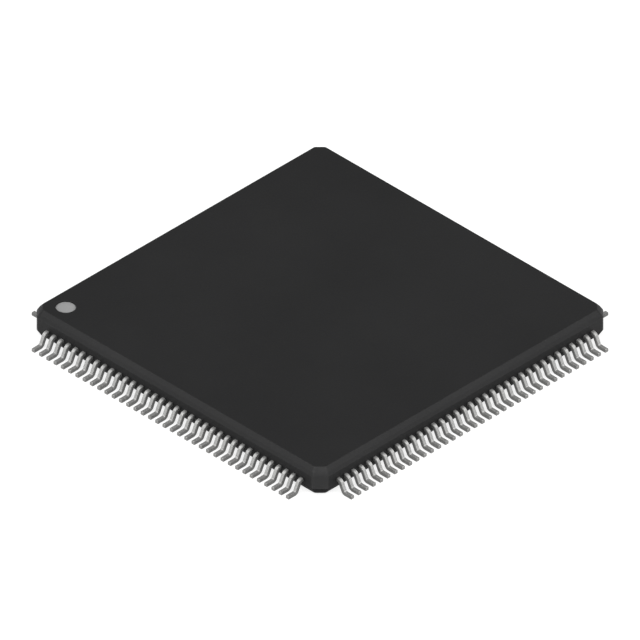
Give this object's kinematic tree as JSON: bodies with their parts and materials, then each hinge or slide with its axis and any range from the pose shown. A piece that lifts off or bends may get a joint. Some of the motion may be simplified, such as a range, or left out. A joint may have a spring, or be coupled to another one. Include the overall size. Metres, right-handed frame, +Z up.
{
  "type": "integrated circuit",
  "caption": "Flat square quad flat pack: dark moulded body with bevelled top, chamfered corners and an index mark, and a row of gull-wing leads along every side for soldering to a board.",
  "frame": {"origin": "centre of the seating plane, which the soles of the lead feet lie in", "axes": "+Z up, from the board through the top face; +X right and +Y rear, each across a row of leads; the index mark and lead 1 are at the -X, +Y corner"},
  "size_m": [0.022, 0.022, 0.0016],
  "materials": {
    "mould_compound": "fine matt, as moulded",
    "index_ink": "matt light grey ink",
    "tin_plated_leads": "satin tin plating",
    "bare_lead_frame": "bare copper alloy, rolled",
    "attach_epoxy": "silver-filled epoxy",
    "silicon": "polished"
  },
  "bodies": {
    "root": {"package_body": "mould_compound", "index_mark": "index_ink", "leads_left": "tin_plated_leads", "leads_front": "tin_plated_leads", "leads_right": "tin_plated_leads", "leads_rear": "tin_plated_leads", "die_paddle": "bare_lead_frame", "die_attach": "attach_epoxy", "silicon_die": "silicon"}
  },
  "joints": []
}
